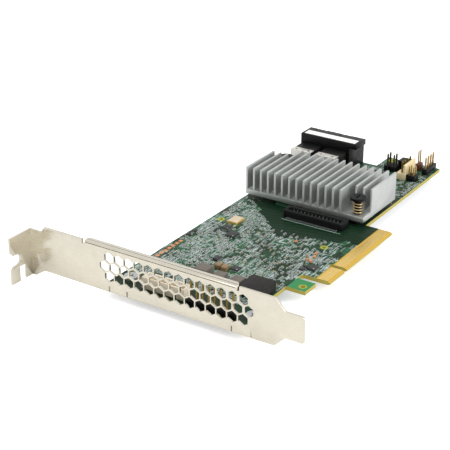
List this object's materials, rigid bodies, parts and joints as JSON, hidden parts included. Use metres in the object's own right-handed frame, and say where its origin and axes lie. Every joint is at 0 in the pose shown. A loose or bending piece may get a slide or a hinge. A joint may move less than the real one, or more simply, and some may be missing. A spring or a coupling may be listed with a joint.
{
  "type": "raid controller card",
  "caption": "Low-profile storage controller card with a finned heat sink, internal storage sockets, a card edge and a vented full-height mounting bracket.",
  "frame": {"origin": "centre of the card's footprint at its lowest point, with the component face up", "axes": "+X from the mounting bracket towards the board's far end; +Y along the bracket towards its screw tab, away from the card edge; +Z from the solder face to the component face"},
  "size_m": [0.18, 0.12, 0.0213],
  "materials": {
    "black_plastic": "black moulded liquid-crystal polymer",
    "board_laminate": "dark green solder mask over glass-epoxy laminate",
    "bracket_steel": "satin nickel plate with a warm, ivory cast",
    "brown_plastic": "dark brown polyester",
    "capacitor_ceramic": "fired ceramic with tinned ends",
    "capacitor_tan": "tan resin case",
    "chip_epoxy": "black moulding compound",
    "clock_base": "ceramic base with a gold rim",
    "clock_lid": "matt metal lid",
    "contact_gold": "hard gold flash, satin",
    "cover_steel": "bright tin plate",
    "cream_plastic": "cream polyamide",
    "inductor_ferrite": "grey-brown pressed iron powder",
    "label_paper": "blank white paper label",
    "lid_nickel": "nickel-plated copper lid",
    "pad_copper": "bare copper pads with a thin tin of solder",
    "pin_plastic": "black polyamide",
    "resistor_black": "glazed black with tinned ends",
    "screw_steel": "bright zinc plate",
    "sink_aluminium": "extruded, lightly brushed, clear anodised",
    "spring_brass": "drawn brass wire",
    "substrate_laminate": "green build-up substrate",
    "thermal_paste": "grey thermal pad"
  },
  "bodies": {
    "root": {"alarm_buzzer": "black_plastic", "blank_label": "label_paper", "bracket_screws": "screw_steel", "bulk_capacitors": "capacitor_tan", "chip_capacitors": "capacitor_ceramic", "chip_resistors": "resistor_black", "circuit_board": "board_laminate", "controller_lid": "lid_nickel", "controller_substrate": "substrate_laminate", "edge_contacts": "contact_gold", "end_header_base": "black_plastic", "end_header_pins": "contact_gold", "expander_chip": "chip_epoxy", "flash_chip": "chip_epoxy", "heat_sink": "sink_aluminium", "jumper_header_high_base": "black_plastic", "jumper_header_high_pins": "contact_gold", "jumper_header_low_base": "black_plastic", "jumper_header_low_pins": "contact_gold", "key_header_base": "black_plastic", "key_header_pins": "contact_gold", "large_power_inductor": "inductor_ferrite", "lock_header_base": "cream_plastic", "lock_header_pins": "contact_gold", "memory_chip_1": "chip_epoxy", "memory_chip_2": "chip_epoxy", "memory_chip_3": "chip_epoxy", "memory_chip_4": "chip_epoxy", "memory_chip_5": "chip_epoxy", "mezzanine_contacts": "contact_gold", "mezzanine_socket": "black_plastic", "monitor_chip": "chip_epoxy", "mounting_bracket": "bracket_steel", "oscillator_base": "clock_base", "oscillator_lid": "clock_lid", "port_guide": "black_plastic", "port_high_contacts": "contact_gold", "port_high_cover_plate": "cover_steel", "port_high_housing": "black_plastic", "port_low_contacts": "contact_gold", "port_low_cover_plate": "cover_steel", "port_low_housing": "black_plastic", "power_inductor_far": "inductor_ferrite", "power_inductor_middle": "inductor_ferrite", "power_inductor_near": "inductor_ferrite", "power_switch_chip": "chip_epoxy", "push_pin_front": "pin_plastic", "push_pin_rear": "pin_plastic", "push_pin_spring_front": "spring_brass", "push_pin_spring_rear": "spring_brass", "regulator_chip": "chip_epoxy", "service_header_base": "black_plastic", "service_header_pins": "contact_gold", "shroud_header_base": "cream_plastic", "shroud_header_pins": "contact_gold", "tall_header_base": "brown_plastic", "tall_header_pins": "contact_gold", "test_pads": "pad_copper", "thermal_pad": "thermal_paste"}
  },
  "joints": []
}
